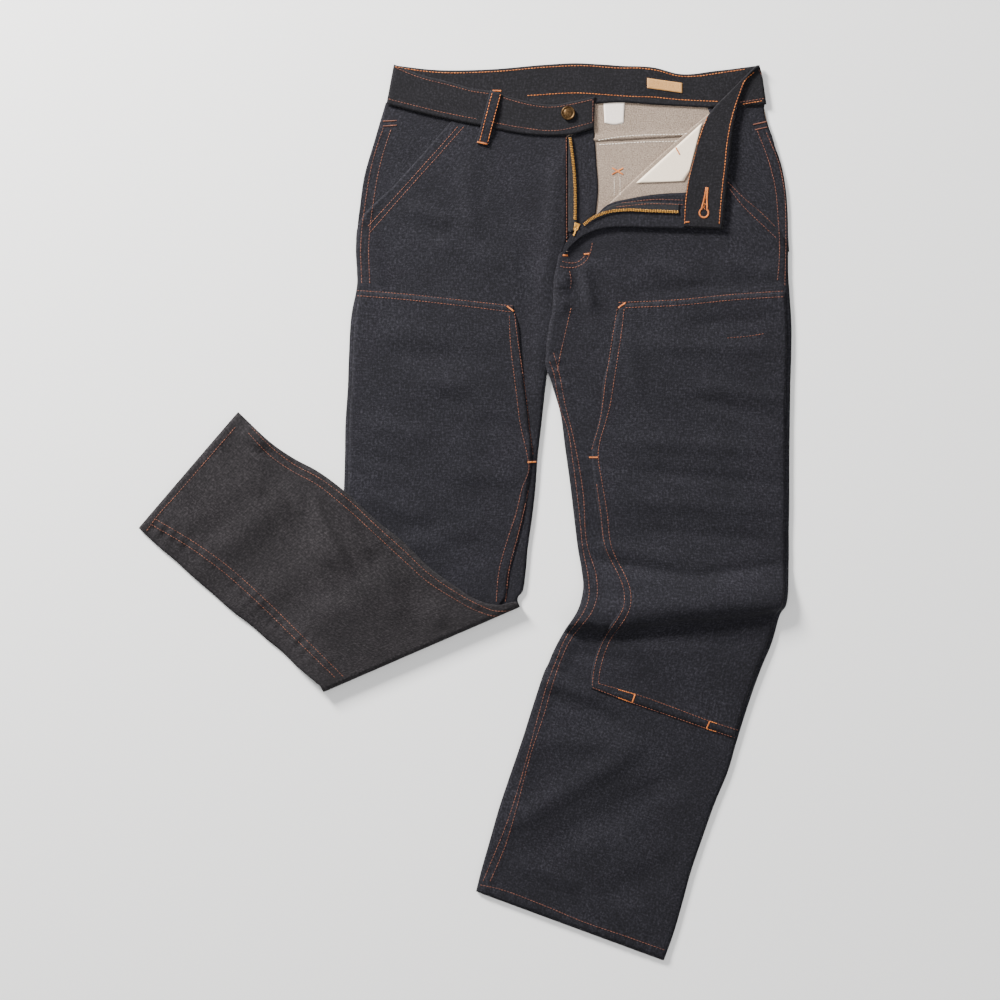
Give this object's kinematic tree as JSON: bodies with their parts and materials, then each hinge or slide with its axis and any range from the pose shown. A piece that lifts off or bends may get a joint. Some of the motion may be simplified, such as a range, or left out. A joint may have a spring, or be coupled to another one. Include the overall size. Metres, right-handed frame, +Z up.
{
  "type": "carpenter pants",
  "caption": "Double-knee denim carpenter pants laid flat, fly open, one front corner turned back and one leg folded up at the knee.",
  "frame": {"origin": "centre of the garment's plan, on the surface that it lies on", "axes": "+Y from the hem towards the waistband, +X towards the wearer's left leg as the front lies up, +Z up off the surface"},
  "size_m": [0.7824, 1.0758, 0.0172],
  "materials": {
    "denim_outside": "raw indigo twill, heathered",
    "denim_inside": "light weft side of the twill",
    "waistband_denim": "raw indigo twill, doubled",
    "pocket_cloth": "cream cotton twill",
    "zip_cloth": "woven tape",
    "zip_brass": "polished",
    "button_brass": "antique",
    "label_tan": "woven, bare",
    "label_white": "satin tape, bare"
  },
  "bodies": {
    "garment": {"front_right": "denim_outside", "back_right": "denim_outside", "front_left": "denim_outside", "back_left": "denim_inside", "knee_patch_right": "denim_outside", "knee_patch_left": "denim_outside", "back_yoke_right": "denim_inside", "back_yoke_left": "denim_inside", "pocket_facing_right": "denim_outside", "pocket_facing_left": "denim_outside", "waistband_back": "waistband_denim", "waistband_front_right": "waistband_denim", "waistband_front_left": "waistband_denim", "fly_shield": "denim_outside", "zip_tape_right": "zip_cloth", "fly_facing": "denim_outside", "zip_tape_left": "zip_cloth", "pocket_bag_left": "pocket_cloth", "waistband_label": "label_tan", "care_label": "label_white", "belt_loop_front": "denim_outside", "button": "button_brass", "zip_slider": "zip_brass"},
    "pull_tab": {"zip_pull": "zip_brass"}
  },
  "joints": [
    {"name": "pull_hinge", "type": "hinge", "parent": "garment", "child": "pull_tab", "pos_m": [0.1336, 0.3414, 0.0082], "axis": [-0.9553, 0.2955, 0], "range_deg": [0, 170]}
  ]
}
